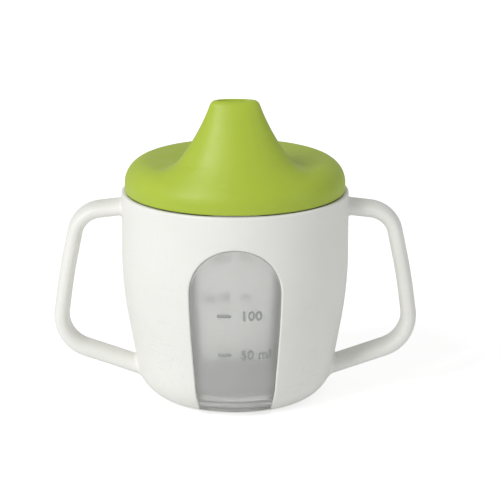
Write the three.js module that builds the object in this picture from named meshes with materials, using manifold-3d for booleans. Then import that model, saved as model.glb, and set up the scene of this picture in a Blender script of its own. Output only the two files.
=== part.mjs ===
// Two-handled toddler beaker: a translucent inner cup in a white jacket with two arched
// windows, two loop handles, and a screw-on lid with an off-centre drinking spout.
//
// Millimetres. +Z is up, the beaker stands on z = 0 and its axis is the Z axis.
// The front window and the spout face -Y. The handles lie along X.

import * as THREE from 'three';
import { mergeVertices } from 'three/addons/utils/BufferGeometryUtils.js';
import Module from 'manifold-3d';

const wasm = await Module();
wasm.setup();

// ---------------------------------------------------------------- driving dimensions

const GAP = 0.3;                     // clearance between pieces that touch

// Jacket: straight sides above, a long shallow curve, then a cone and a round corner
const RIM_R = 39.4;
const RIM_Z = 73.4;
const JACKET_WALL = 1.8;
const SIDE_CURVE_Z = 52;             // height at which the straight side starts to curve in
const SIDE_CURVE_R = 135;
const TAPER = THREE.MathUtils.degToRad(10.2);
const CORNER_R = 13;
const CORNER_CENTRE_R = 21.3;        // radius of the flat underside
const FOOT_RING_WIDTH = 4.3;
const BASE_RECESS = 2;               // how far the middle of the underside is raised
const JACKET_FLOOR = 1.8;

// Windows: one in front and one behind, from the underside up to a round arch. Their half angles
// are seen from the axis. Below WINDOW_FLARE_Z they widen, so that the sides run on nearly straight.
const WINDOW_HALF_ANGLE = THREE.MathUtils.degToRad(23.7);
const WINDOW_FOOT_HALF_ANGLE = THREE.MathUtils.degToRad(29.6);
const WINDOW_FLARE_Z = 7.7;
const WINDOW_TOP_Z = 61.9;
const WINDOW_ARCH = 16.2;            // height of the arch above its springing line
const WINDOW_INNER_R = 24.5;         // the cut stops here, at the edge of the underside
const PANE_RECESS = 0.4;             // the clear pane lies this far below the jacket's face

// Inner cup, measured inwards from the jacket's outer face
const CUP_OUTER_INSET = JACKET_WALL + GAP;
const CUP_INNER_INSET = 3.7;
const CUP_FLOOR = 2.1;
const NECK_R = 35.5;
const NECK_INNER_R = 34.2;
const NECK_TOP_Z = 78.4;
const SHOULDER_Z = 73.1;

// Three-start screw thread between neck and lid
const STARTS = 3;
const LEAD = 9;
const THREAD_HEIGHT = 0.8;
const THREAD_HALF_WIDTH = 0.55;
const NECK_THREAD_Z = 75.2;          // where each neck thread starts
const NECK_THREAD_SPAN = [0, 100];   // degrees along the thread
const LID_THREAD_SPAN = [30, 98];

// Lid: a skirt, a rounded shoulder and a flat top
const LID_R = 38.2;
const LID_BOTTOM_Z = 73.8;
const LID_TOP_Z = 84.5;
const LID_ROUNDING = 8.1;
const LID_WALL = 1.5;

// Spout: oval sections that widen downwards, on an axis in front of the beaker's axis
const SPOUT_Y = -19;
const SPOUT_TOP_Z = 109.3;
const SPOUT_EDGE = 1.9;              // rounding of the spout's top edge
const TIP_RECESS = 0.5;              // shallow oval dish that holds the drinking holes
const TIP_RECESS_HALF_WIDTH = 5.6;
const TIP_RECESS_HALF_DEPTH = 1.7;
const SPOUT_BLEND = 5;               // fillet between spout and lid
const SPOUT_WALL = 1.6;
const DRINK_HOLE_R = 0.9;
const DRINK_HOLE_PITCH = 3.2;
const VENT_R = 0.6;
const VENT_Y = 18;

// Flat seal between the neck's lip and the lid
const SEAL_INNER_R = 32.4;
const SEAL_OUTER_R = 35.2;
const SEAL_THICKNESS = 1;

// Handles: a bar of superelliptic section along a loop of straight runs with rounded corners
const BAR_THICKNESS = 5.4;
const BAR_DEPTH = 12.4;
const BAR_SQUARENESS = 2.5;          // 2 is an ellipse, and larger is squarer
const HANDLE_CORNERS = [[34, 68.3], [54.2, 65.9], [58.9, 43], [62, 20], [32, 9.75]];  // [x, z]
const HANDLE_BENDS = [[10, 6], [200, 1], [12.5, 6]];  // radius at each corner, straight runs in it

const SECTION_STEPS = 24;            // facets around a handle's bar
const ROUND_STEPS = 48;              // facets around the beaker

// ---------------------------------------------------------------- helpers

// A geometry with shared corners, from a position list and triangle indices
function geometryFrom(positions, triangles) {
  const geometry = new THREE.BufferGeometry();
  geometry.setAttribute('position', new THREE.Float32BufferAttribute(positions, 3));
  geometry.setIndex(triangles);
  return geometry;
}

function toSolid(geometry) {
  const bare = geometry.clone();
  bare.deleteAttribute('normal');
  bare.deleteAttribute('uv');
  const merged = mergeVertices(bare, 1e-4);
  return new wasm.Manifold(new wasm.Mesh({
    numProp: 3,
    vertProperties: new Float32Array(merged.attributes.position.array),
    triVerts: new Uint32Array(merged.index.array),
  }));
}

function toGeometry(solid) {
  const mesh = solid.getMesh();
  const positions = [];
  for (let i = 0; i < mesh.vertProperties.length; i += mesh.numProp) {
    positions.push(mesh.vertProperties[i], mesh.vertProperties[i + 1], mesh.vertProperties[i + 2]);
  }
  const geometry = geometryFrom(positions, [...mesh.triVerts]);
  geometry.computeVertexNormals();
  return geometry;
}

// Revolves a closed [radius, z] outline, listed anticlockwise from the axis, about Z
function revolve(outline, steps = ROUND_STEPS) {
  const points = outline.map(([r, z]) => new THREE.Vector2(r, z));
  if (outline[0][0] > 0) points.push(points[0].clone());
  const geometry = new THREE.LatheGeometry(points, steps);
  geometry.rotateX(Math.PI / 2);
  return toSolid(geometry);
}

// Points on an arc in the [radius, z] plane, both ends included
function arc([centreR, centreZ], radius, from, to, steps) {
  const points = [];
  for (let i = 0; i <= steps; i += 1) {
    const angle = from + (to - from) * i / steps;
    points.push([centreR + radius * Math.cos(angle), centreZ + radius * Math.sin(angle)]);
  }
  return points;
}

// The beaker's side, from the level floorZ up to topZ, moved inwards by inset
function sideOutline(inset, floorZ, topZ) {
  const cornerRadius = CORNER_R - inset;
  const start = -Math.asin((CORNER_R - floorZ) / cornerRadius);
  const corner = arc([CORNER_CENTRE_R, CORNER_R], cornerRadius, start, -TAPER, 4);
  const side = arc([RIM_R - SIDE_CURVE_R, SIDE_CURVE_Z], SIDE_CURVE_R - inset, -TAPER, 0, 3);
  return [...corner, ...side, [RIM_R - inset, topZ]];
}

// Radius of the beaker's outer face at a height
function sideRadius(z) {
  if (z >= SIDE_CURVE_Z) return RIM_R;
  const curve = RIM_R - SIDE_CURVE_R + Math.sqrt(SIDE_CURVE_R ** 2 - (SIDE_CURVE_Z - z) ** 2);
  if (z >= SIDE_CURVE_Z - SIDE_CURVE_R * Math.sin(TAPER)) return curve;
  const coneTop = RIM_R - SIDE_CURVE_R * (1 - Math.cos(TAPER));
  const below = SIDE_CURVE_Z - SIDE_CURVE_R * Math.sin(TAPER) - z;
  const coneBottomZ = CORNER_R * (1 - Math.sin(TAPER));
  if (z >= coneBottomZ) return coneTop - below * Math.tan(TAPER);
  return CORNER_CENTRE_R + Math.sqrt(CORNER_R ** 2 - (CORNER_R - Math.max(z, 0)) ** 2);
}

// A closed block that fills a window: its outline from the front, run straight through the wall.
// shrink pulls the sides, the arch and the inner face in by that much.
function windowBlock(side, shrink) {
  const springZ = WINDOW_TOP_Z - WINDOW_ARCH;
  const halfWidths = [-5, 0, 0.9, 2.4, 4.6, WINDOW_FLARE_Z, 20, 33].map((z) => {
    const low = THREE.MathUtils.clamp(1 - z / WINDOW_FLARE_Z, 0, 1);
    const flare = (WINDOW_FOOT_HALF_ANGLE - WINDOW_HALF_ANGLE) * low ** 2;
    return [sideRadius(z) * Math.sin(WINDOW_HALF_ANGLE + flare) - shrink, z];
  });
  const arch = [];
  const steps = 16;
  for (let i = 0; i <= steps; i += 1) {
    const turn = Math.PI * i / steps;
    const z = springZ + (WINDOW_ARCH - shrink) * Math.sin(turn);
    const angle = (WINDOW_HALF_ANGLE - shrink / RIM_R) * Math.cos(turn);
    arch.push([sideRadius(z) * Math.sin(angle), z]);
  }
  const left = halfWidths.map(([x, z]) => [-x, z]).reverse();
  const outline = [...halfWidths, ...arch, ...left].map(([x, z]) => new THREE.Vector2(x, z));
  const depth = RIM_R + 5;
  const geometry = new THREE.ExtrudeGeometry(new THREE.Shape(outline), { depth, bevelEnabled: false });
  geometry.rotateX(Math.PI / 2);
  if (side > 0) geometry.rotateZ(Math.PI);
  const inner = WINDOW_INNER_R + shrink;
  const core = revolve([[0, -6], [inner, -6], [inner, RIM_Z], [0, RIM_Z]]);
  return toSolid(geometry).subtract(core);
}

// Thread ribs on a cylinder: they stand out from it where outwards is 1 and in where it is -1
function threadRibs(radius, outwards, startZ, [from, to]) {
  const steps = 10;
  const root = radius - outwards * 0.4;
  const crest = radius + outwards * THREAD_HEIGHT;
  const section = [
    [root, -THREAD_HALF_WIDTH * 1.3],
    [crest, -THREAD_HALF_WIDTH * 0.7],
    [crest, THREAD_HALF_WIDTH * 0.7],
    [root, THREAD_HALF_WIDTH * 1.3],
  ];
  if (outwards < 0) section.reverse();
  let ribs = null;
  for (let start = 0; start < STARTS; start += 1) {
    const positions = [];
    const triangles = [];
    for (let i = 0; i <= steps; i += 1) {
      const turned = from + (to - from) * i / steps;
      const angle = THREE.MathUtils.degToRad(turned + 360 * start / STARTS);
      const z = startZ + LEAD * turned / 360;
      for (const [r, dz] of section) {
        positions.push(r * Math.cos(angle), r * Math.sin(angle), z + dz);
      }
    }
    for (let i = 0; i < steps; i += 1) {
      for (let k = 0; k < 4; k += 1) {
        const a = 4 * i + k;
        const b = 4 * i + (k + 1) % 4;
        triangles.push(a, a + 4, b, b, a + 4, b + 4);
      }
    }
    const last = 4 * steps;
    triangles.push(0, 1, 2, 0, 2, 3);
    triangles.push(last, last + 2, last + 1, last, last + 3, last + 2);
    const rib = toSolid(geometryFrom(positions, triangles));
    ribs = ribs ? ribs.add(rib) : rib;
  }
  return ribs;
}

function rod(radius, [x, y], fromZ, toZ) {
  const geometry = new THREE.CylinderGeometry(radius, radius, toZ - fromZ, 12);
  geometry.rotateX(Math.PI / 2);
  geometry.translate(x, y, (fromZ + toZ) / 2);
  return toSolid(geometry);
}

// ---------------------------------------------------------------- jacket

// The space that the jacket's outer face encloses, grown outwards by extra
function jacketBlank(extra) {
  return revolve([[0, -extra], ...sideOutline(-extra, -extra, RIM_Z + extra), [0, RIM_Z + extra]]);
}

function makeJacket() {
  const floorTop = BASE_RECESS + JACKET_FLOOR;
  const footInner = CORNER_CENTRE_R - FOOT_RING_WIDTH;
  const jacket = revolve([
    [0, BASE_RECESS],
    [footInner - 1, BASE_RECESS],
    [footInner, 0],
    ...sideOutline(0, 0, RIM_Z),
    ...sideOutline(JACKET_WALL, floorTop, RIM_Z).reverse(),
    [0, floorTop],
  ]);
  return jacket.subtract(windowBlock(-1, 0)).subtract(windowBlock(1, 0));
}

// ---------------------------------------------------------------- inner cup

function makeCup() {
  const floorBottom = BASE_RECESS + JACKET_FLOOR + GAP;
  const floorTop = floorBottom + CUP_FLOOR;
  const outer = [
    [0, floorBottom],
    ...sideOutline(CUP_OUTER_INSET, floorBottom, SHOULDER_Z - 1),
    [NECK_R, SHOULDER_Z],
    [NECK_R, NECK_TOP_Z - 0.4],
    [NECK_R - 0.4, NECK_TOP_Z],
  ];
  const cavity = [
    [0, floorTop],
    ...sideOutline(CUP_INNER_INSET, floorTop, SHOULDER_Z - 2.8),
    [NECK_INNER_R, SHOULDER_Z - 1.2],
    [NECK_INNER_R, NECK_TOP_Z - 0.4],
    [NECK_INNER_R + 0.4, NECK_TOP_Z],
  ];
  const body = revolve([...outer, ...[...cavity].reverse()]);
  const hollow = revolve([...cavity, [NECK_INNER_R + 0.4, NECK_TOP_Z + 1], [0, NECK_TOP_Z + 1]]);
  const paneBlank = revolve([
    [0, PANE_RECESS],
    ...sideOutline(PANE_RECESS, PANE_RECESS, RIM_Z - 5),
    [0, RIM_Z - 5],
  ]).subtract(hollow);
  const panes = paneBlank.intersect(windowBlock(-1, GAP).add(windowBlock(1, GAP)));
  const ribs = threadRibs(NECK_R, 1, NECK_THREAD_Z, NECK_THREAD_SPAN);
  return body.add(panes).add(ribs);
}

// ---------------------------------------------------------------- lid

// Smooth union of two signed distances, with a fillet of about the given size
function blendUnion(a, b, size) {
  const overlap = Math.max(size - Math.abs(a - b), 0) / Math.max(size, 1e-6);
  return Math.min(a, b) - overlap * overlap * size / 4;
}

function blendCut(a, b, size) {
  return -blendUnion(-a, -b, size);
}

// Signed distance to the lid without its spout
function plainLidDistance(x, y, z) {
  const outwards = Math.hypot(x, y) - (LID_R - LID_ROUNDING);
  const upwards = z - (LID_TOP_Z - LID_ROUNDING);
  const corner = Math.hypot(Math.max(outwards, 0), Math.max(upwards, 0));
  return corner + Math.min(Math.max(outwards, upwards), 0) - LID_ROUNDING;
}

// Signed distance, near enough, to the spout: ovals whose half sizes grow with depth
function spoutDistance(x, y, z) {
  const depth = SPOUT_TOP_Z - z;
  const halfWidth = 7.9 + 0.33 * depth + 0.0095 * depth * depth;
  const forwards = y < SPOUT_Y;
  const flare = forwards ? 0.42 * depth + 0.002 * depth * depth : 0.4 * depth + 0.0045 * depth * depth;
  const halfDepth = 3.4 + flare;
  const dx = x;
  const dy = y - SPOUT_Y;
  const size = Math.hypot(dx / halfWidth, dy / halfDepth);
  const slope = Math.hypot(dx / halfWidth ** 2, dy / halfDepth ** 2);
  const side = slope < 1e-9 ? -halfDepth : size * (size - 1) / slope;
  return blendCut(side, z - SPOUT_TOP_Z, SPOUT_EDGE);
}

// Signed distance to the whole lid. The fillet dies out at the rim, so that the skirt stays round.
function lidDistance(x, y, z) {
  const radius = Math.hypot(x, y);
  const fade = THREE.MathUtils.clamp((LID_R - radius) / 6, 0, 1);
  const spout = blendCut(spoutDistance(x, y, z), radius - LID_R, 3);
  return blendUnion(plainLidDistance(x, y, z), spout, SPOUT_BLEND * fade);
}

// Where a ray from the lid's focus leaves the solid whose surface lies inset below the lid's
function lidSurfacePoint(focus, direction, inset) {
  let near = 0;
  let far = 90;
  for (let i = 0; i < 26; i += 1) {
    const middle = (near + far) / 2;
    const point = focus.clone().addScaledVector(direction, middle);
    if (lidDistance(point.x, point.y, point.z) + inset < 0) near = middle;
    else far = middle;
  }
  return focus.clone().addScaledVector(direction, far);
}

// One meridian of the lid, from the spout's tip down to the skirt's edge, in equal steps
function lidMeridian(rimAngle, inset, steps) {
  const focus = new THREE.Vector3(0, -10, LID_BOTTOM_Z - 20);
  const tip = new THREE.Vector3(0, SPOUT_Y, SPOUT_TOP_Z - inset).sub(focus).normalize();
  const rimRadius = LID_R - inset;
  const rim = new THREE.Vector3(rimRadius * Math.cos(rimAngle), rimRadius * Math.sin(rimAngle), LID_BOTTOM_Z);
  const rimDirection = rim.clone().sub(focus).normalize();
  const samples = 160;
  const fine = [];
  for (let i = 0; i < samples; i += 1) {
    const direction = tip.clone().lerp(rimDirection, i / samples).normalize();
    fine.push(lidSurfacePoint(focus, direction, inset));
  }
  fine.push(rim);
  const path = new THREE.CatmullRomCurve3(fine, false, 'centripetal');
  path.arcLengthDivisions = 400;
  return path.getSpacedPoints(steps);
}

// The closed space under the lid's surface, moved in by inset, with its floor at floorZ
function lidBlank(inset, floorZ) {
  const around = ROUND_STEPS;
  const steps = 15;
  const positions = [0, SPOUT_Y, SPOUT_TOP_Z - inset];
  const triangles = [];
  for (let i = 0; i < around; i += 1) {
    const meridian = lidMeridian(2 * Math.PI * i / around, inset, steps).slice(1);
    for (const point of meridian) positions.push(point.x, point.y, point.z);
    const rim = meridian[steps - 1];
    positions.push(rim.x, rim.y, floorZ);
  }
  const rows = steps + 1;
  const base = positions.length / 3;
  positions.push(0, 0, floorZ);
  for (let i = 0; i < around; i += 1) {
    const here = 1 + i * rows;
    const next = 1 + ((i + 1) % around) * rows;
    triangles.push(0, here, next);
    for (let j = 0; j < rows - 1; j += 1) {
      triangles.push(here + j, here + j + 1, next + j, next + j, here + j + 1, next + j + 1);
    }
    triangles.push(here + rows - 1, base, next + rows - 1);
  }
  return toSolid(geometryFrom(positions, triangles));
}

function makeLid() {
  const belowLid = LID_BOTTOM_Z - 2;
  const outside = lidBlank(0, belowLid);
  const inside = lidBlank(LID_WALL, belowLid - 1);
  const lidOnly = revolve([[0, LID_BOTTOM_Z], [60, LID_BOTTOM_Z], [60, 130], [0, 130]]);
  let lid = outside.subtract(inside).intersect(lidOnly);
  const skirtInner = LID_R - LID_WALL;
  const threadZ = NECK_THREAD_Z - LEAD / STARTS / 2;
  lid = lid.add(threadRibs(skirtInner, -1, threadZ, LID_THREAD_SPAN));
  const dish = new THREE.CylinderGeometry(1, 1, 2, 24);
  dish.rotateX(Math.PI / 2);
  dish.scale(TIP_RECESS_HALF_WIDTH, TIP_RECESS_HALF_DEPTH, 1);
  dish.translate(0, SPOUT_Y, SPOUT_TOP_Z - TIP_RECESS + 1);
  lid = lid.subtract(toSolid(dish));
  for (const place of [-1, 0, 1]) {
    const at = [place * DRINK_HOLE_PITCH, SPOUT_Y];
    lid = lid.subtract(rod(DRINK_HOLE_R, at, SPOUT_TOP_Z - 2 * SPOUT_WALL, SPOUT_TOP_Z + 1));
  }
  return lid.subtract(rod(VENT_R, [0, VENT_Y], LID_TOP_Z - 2 * LID_WALL, LID_TOP_Z + 1));
}

// ---------------------------------------------------------------- seal

function makeSeal() {
  const bottom = NECK_TOP_Z + GAP;
  const top = bottom + SEAL_THICKNESS;
  return revolve([
    [SEAL_INNER_R, bottom],
    [SEAL_OUTER_R, bottom],
    [SEAL_OUTER_R, top],
    [SEAL_INNER_R, top],
  ]);
}

// ---------------------------------------------------------------- handles

// Outline of the bar: [across, along its depth]
function barSection() {
  const power = 2 / BAR_SQUARENESS;
  const outline = [];
  for (let i = 0; i < SECTION_STEPS; i += 1) {
    const c = Math.cos(2 * Math.PI * i / SECTION_STEPS);
    const s = Math.sin(2 * Math.PI * i / SECTION_STEPS);
    const x = BAR_THICKNESS / 2 * Math.sign(c) * Math.abs(c) ** power;
    const y = BAR_DEPTH / 2 * Math.sign(s) * Math.abs(s) ** power;
    outline.push(new THREE.Vector2(x, y));
  }
  return outline;
}

// Points along the middle of the bar
function handlePath() {
  const corners = HANDLE_CORNERS.map(([x, z]) => new THREE.Vector2(x, z));
  const path = [corners[0]];
  HANDLE_BENDS.forEach(([bend, runs], i) => {
    const before = corners[i].clone().sub(corners[i + 1]).normalize();
    const after = corners[i + 2].clone().sub(corners[i + 1]).normalize();
    const halfTurn = before.angleTo(after) / 2;
    const reach = bend / Math.tan(halfTurn);
    const middle = before.clone().add(after).normalize();
    const centre = corners[i + 1].clone().addScaledVector(middle, bend / Math.sin(halfTurn));
    const first = corners[i + 1].clone().addScaledVector(before, reach).sub(centre);
    const last = corners[i + 1].clone().addScaledVector(after, reach).sub(centre);
    const turn = first.angleTo(last);
    for (let k = 0; k <= runs; k += 1) {
      path.push(first.clone().rotateAround(new THREE.Vector2(), -turn * k / runs).add(centre));
    }
  });
  path.push(corners[corners.length - 1]);
  return path;
}

// The bar swept along its path by lofting the section, then trimmed to the jacket's side
function makeHandle(side) {
  const section = barSection();
  const path = handlePath();
  const count = section.length;
  const positions = [];
  const triangles = [];
  path.forEach((point, i) => {
    const ahead = path[Math.min(i + 1, path.length - 1)];
    const behind = path[Math.max(i - 1, 0)];
    const tangent = ahead.clone().sub(behind).normalize();
    const normal = new THREE.Vector2(-tangent.y, tangent.x);
    for (const corner of section) {
      const x = point.x + normal.x * corner.x;
      const z = point.y + normal.y * corner.x;
      positions.push(side * x, side * corner.y, z);
    }
  });
  for (let i = 0; i < path.length - 1; i += 1) {
    for (let k = 0; k < count; k += 1) {
      const a = count * i + k;
      const b = count * i + (k + 1) % count;
      triangles.push(a, a + count, b, b, a + count, b + count);
    }
  }
  const last = count * (path.length - 1);
  for (let k = 1; k < count - 1; k += 1) {
    triangles.push(0, k, k + 1);
    triangles.push(last, last + k + 1, last + k);
  }
  return toSolid(geometryFrom(positions, triangles)).subtract(jacketBlank(GAP));
}

// ---------------------------------------------------------------- assembly

const white = { color: 0xf2f2ef, roughness: 0.38, metalness: 0 };
const green = { color: 0xacc63d, roughness: 0.4, metalness: 0 };
const clear = { color: 0xd2d4ce, roughness: 0.3, metalness: 0, transparent: true, opacity: 0.5 };
const silicone = { color: 0xe4e4e0, roughness: 0.6, metalness: 0 };

const beaker = new THREE.Group();

function addPiece(name, solid, look) {
  const mesh = new THREE.Mesh(toGeometry(solid), new THREE.MeshStandardMaterial(look));
  mesh.name = name;
  beaker.add(mesh);
}

addPiece('outer_shell', makeJacket(), white);
addPiece('handle_left', makeHandle(-1), white);
addPiece('handle_right', makeHandle(1), white);
addPiece('inner_cup', makeCup(), clear);
addPiece('lid_seal', makeSeal(), silicone);
addPiece('lid', makeLid(), green);

export default beaker;
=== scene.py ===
"""The looks of a two-handled toddler beaker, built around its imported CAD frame.

Lengths in this script are millimetres unless a name ends in _M. Angles round the beaker are
measured from the front (-Y) towards +X. The side of the beaker is described once, by
side_at(inset, u): u runs from 0 at the edge of the flat underside to 4 at the rim, and inset
is how far below the jacket's outer face the point lies.
"""

import math

import bmesh
import bpy
import numpy as np
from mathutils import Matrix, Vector


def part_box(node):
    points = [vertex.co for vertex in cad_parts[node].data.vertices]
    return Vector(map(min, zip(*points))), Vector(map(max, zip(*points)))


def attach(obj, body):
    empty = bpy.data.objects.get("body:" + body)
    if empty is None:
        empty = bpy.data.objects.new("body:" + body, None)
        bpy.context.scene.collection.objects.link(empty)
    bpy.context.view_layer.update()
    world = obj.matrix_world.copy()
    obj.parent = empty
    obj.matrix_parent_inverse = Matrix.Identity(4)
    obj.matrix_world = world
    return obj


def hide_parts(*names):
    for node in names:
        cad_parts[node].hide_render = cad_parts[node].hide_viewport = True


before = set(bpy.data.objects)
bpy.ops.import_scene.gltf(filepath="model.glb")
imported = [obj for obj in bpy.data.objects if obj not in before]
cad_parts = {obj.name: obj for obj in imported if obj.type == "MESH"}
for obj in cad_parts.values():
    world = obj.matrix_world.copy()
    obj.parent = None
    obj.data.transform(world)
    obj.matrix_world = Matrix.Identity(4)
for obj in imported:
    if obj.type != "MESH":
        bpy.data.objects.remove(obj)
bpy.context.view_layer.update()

MM = 0.001
TAU = 2 * math.pi

# ------------------------------ sizes, from the frame


def box_mm(node):
    """Lowest and highest corners of a CAD node, in millimetres."""
    low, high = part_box(node)
    return Vector(low) / MM, Vector(high) / MM


RIM_R = box_mm("outer_shell")[1].x
RIM_Z = box_mm("outer_shell")[1].z
NECK_TOP_Z = box_mm("inner_cup")[1].z
LID_R = box_mm("lid")[1].x
LID_BOTTOM_Z = box_mm("lid")[0].z
SPOUT_TOP_Z = box_mm("lid")[1].z
SEAL_LOW, SEAL_HIGH = box_mm("lid_seal")

GAP = 0.3

# Side of the jacket: a round corner, a cone, a long shallow curve and a straight top
SIDE_CURVE_Z = 52.0
SIDE_CURVE_R = 135.0
TAPER = math.radians(10.2)
CORNER_R = 13.0
CORNER_CENTRE_R = 21.3
JACKET_WALL = 1.8
JACKET_FLOOR_Z = 3.8
BASE_RECESS = 2.0
FOOT_INNER_R = 17.0
RIM_ROUND = 0.6

# Windows, as arc lengths at the jacket's outer face
WINDOW_HALF = math.radians(23.7) * RIM_R
WINDOW_TOP_Z = 61.9
WINDOW_ARCH = 16.2
WINDOW_SPRING_Z = WINDOW_TOP_Z - WINDOW_ARCH
WINDOW_BOTTOM_R = 24.5
WINDOW_FLARE = math.radians(5.9)    # how much more a window spans, to each side, at its lower end
WINDOW_FLARE_U = 0.75               # where in the round corner the flare starts
WINDOW_EDGE = 0.55                  # rounding of the jacket's edge round a window
WINDOW_SPREAD = 0.78                # a window's parallel sides span a wider angle further in
PANE_INSET = 0.4
PANE_MARGIN = -0.10                 # the pane's side, next to the jacket's cut
PANE_EDGE = 0.3

# Inner cup
CUP_OUTER = JACKET_WALL + GAP
CUP_INNER = 3.7
CUP_UNDER_Z = JACKET_FLOOR_Z + GAP
CUP_FLOOR_Z = CUP_UNDER_Z + 2.1
CUP_CORNER_R = 1.6                  # where the inner wall meets the floor
NECK_R = 35.5
NECK_INNER_R = 34.2
NECK_LIP = 0.4                      # rounding of the lip's two edges
SHOULDER_Z = 73.1

# Screw thread, shared by neck and lid
STARTS = 3
LEAD = 9.0
THREAD_HEIGHT = 0.8
THREAD_HALF_WIDTH = 0.55
NECK_THREAD_Z = 75.2
NECK_THREAD_SPAN = (0.0, 100.0)
LID_THREAD_SPAN = (30.0, 98.0)

# Lid and spout
LID_TOP_Z = 84.5
LID_ROUNDING = 8.1
LID_WALL = 1.5
SPOUT_Y = -19.0
SPOUT_EDGE = 1.9
SPOUT_BLEND = 5.0
# The spout's half sizes: at the tip, then growth with depth and with depth squared
SPOUT_HALF_WIDTH = (7.9, 0.33, 0.0095)
SPOUT_FRONT = (3.4, 0.42, 0.002)
SPOUT_BACK = (3.4, 0.4, 0.0045)
TIP_RECESS = 1.0
TIP_RECESS_HALF = (5.6, 1.7)
DRINK_HOLE_R = 0.9
DRINK_HOLE_PITCH = 3.2
VENT_R = 0.6
VENT_Y = 18.0

SEAL_INNER_R = 32.4

# Handles: a superelliptic bar along a loop, given by its corners [x, z] and their bends
BAR_THICKNESS = 5.4
BAR_DEPTH = 12.4
BAR_SQUARENESS = 2.5                # 2 is an ellipse, and larger is squarer
HANDLE_CORNERS = [(34.0, 68.3), (54.2, 65.9), (58.9, 43.0), (61.88, 20.0), (32.0, 9.75)]
HANDLE_BENDS = [10.0, 200.0, 12.5]
ROOT_FILLETS = [1.1, 1.6]
ROOT_CLEAR = 3.2                    # the bar's plain part keeps this far out of the jacket

# Graduations: volume label, height of its line. Places across a pane count from its middle.
GRADUATIONS = [("50 ml", 24.5), ("100", 38.9)]
LABEL_SIZE = 4.7
LABEL_X = 1.9
LABEL_DROP = 1.6                    # how far a label's foot lies below its line
LINE_X = -3.9
LINE_HALF_LENGTH = 2.45
LINE_HALF_WIDTH = 0.6

# ------------------------------ mesh helpers


class Surface:
    """Gathers grids of points, in millimetres, and welds them into one closed mesh."""

    def __init__(self):
        self.points = []
        self.faces = []

    def grid(self, rows, wrap=False):
        """Faces between neighbouring rows of points. wrap also joins each row's two ends."""
        rows = np.asarray(rows, dtype=float)
        count, across = rows.shape[:2]
        start = len(self.points)
        self.points.extend(map(tuple, rows.reshape(-1, 3)))
        for i in range(count - 1):
            for j in range(across if wrap else across - 1):
                here = start + i * across + j
                beside = start + i * across + (j + 1) % across
                self.faces.append((here, beside, beside + across, here + across))

    def fan(self, centre, ring):
        """Triangles from one point to a closed ring."""
        start = len(self.points)
        self.points.append(tuple(centre))
        self.points.extend(map(tuple, ring))
        count = len(ring)
        for i in range(count):
            self.faces.append((start, start + 1 + i, start + 1 + (i + 1) % count))

    def build(self, name, material, sharp_degrees=40):
        mesh = bpy.data.meshes.new(name)
        mesh.from_pydata([(x * MM, y * MM, z * MM) for x, y, z in self.points], [], self.faces)
        return finish_mesh(name, mesh, material, sharp_degrees)


def finish_mesh(name, mesh, material, sharp_degrees=40):
    """Welds a mesh, turns its faces outwards, shades it smooth and puts it in the scene."""
    work = bmesh.new()
    work.from_mesh(mesh)
    bmesh.ops.remove_doubles(work, verts=work.verts, dist=2e-6)
    bmesh.ops.dissolve_degenerate(work, edges=work.edges, dist=1e-6)
    bmesh.ops.recalc_face_normals(work, faces=work.faces)
    work.to_mesh(mesh)
    work.free()
    mesh.shade_smooth()
    mesh.set_sharp_from_angle(angle=math.radians(sharp_degrees))
    mesh.materials.append(material)
    obj = bpy.data.objects.new(name, mesh)
    bpy.context.scene.collection.objects.link(obj)
    return obj


def ramp(x, low, high):
    """Smooth step from 0 at low to 1 at high."""
    t = np.clip((np.asarray(x, dtype=float) - low) / (high - low), 0.0, 1.0)
    return t * t * (3 - 2 * t)


def unit(vectors):
    return vectors / np.linalg.norm(vectors, axis=-1, keepdims=True)


def around(angle, r, z):
    """Points on circles round the axis. Arrays are broadcast together."""
    angle, r, z = np.broadcast_arrays(angle, r, z)
    return np.stack([r * np.sin(angle), -r * np.cos(angle), z], axis=-1)


def blend_union(a, b, size):
    """Smooth minimum of two signed distances, with a fillet of about the given size."""
    size = np.maximum(size, 1e-6)
    overlap = np.maximum(size - np.abs(a - b), 0) / size
    return np.minimum(a, b) - overlap * overlap * size / 4


def blend_cut(a, b, size):
    """Smooth maximum of two signed distances, with a rounding of about the given size."""
    return -blend_union(-a, -b, size)


# ------------------------------ the beaker's side

CORNER_END = np.array([
    CORNER_CENTRE_R + CORNER_R * math.cos(TAPER),
    CORNER_R - CORNER_R * math.sin(TAPER),
])
CURVE_START = np.array([
    RIM_R - SIDE_CURVE_R + SIDE_CURVE_R * math.cos(TAPER),
    SIDE_CURVE_Z - SIDE_CURVE_R * math.sin(TAPER),
])
CORNER_TURN = math.pi / 2 - TAPER


def side_at(inset, u):
    """[radius, height] on the side, inset below the outer face."""
    inset, u = np.broadcast_arrays(np.asarray(inset, dtype=float), np.asarray(u, dtype=float))
    corner = -math.pi / 2 + np.clip(u, 0, 1) * CORNER_TURN
    curve = -TAPER + (np.clip(u, 2, 3) - 2) * TAPER
    cone = np.clip(u - 1, 0, 1)
    normal = np.array([math.cos(TAPER), -math.sin(TAPER)])
    r_cone = CORNER_END[0] * (1 - cone) + CURVE_START[0] * cone - inset * normal[0]
    z_cone = CORNER_END[1] * (1 - cone) + CURVE_START[1] * cone - inset * normal[1]
    r_corner = CORNER_CENTRE_R + (CORNER_R - inset) * np.cos(corner)
    z_corner = CORNER_R + (CORNER_R - inset) * np.sin(corner)
    r_curve = RIM_R - SIDE_CURVE_R + (SIDE_CURVE_R - inset) * np.cos(curve)
    z_curve = SIDE_CURVE_Z + (SIDE_CURVE_R - inset) * np.sin(curve)
    r = np.select([u <= 1, u <= 2, u <= 3], [r_corner, r_cone, r_curve], RIM_R - inset)
    straight = SIDE_CURVE_Z + (u - 3) * (RIM_Z - SIDE_CURVE_Z)
    z = np.select([u <= 1, u <= 2, u <= 3], [z_corner, z_cone, z_curve], straight)
    return r, z


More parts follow.
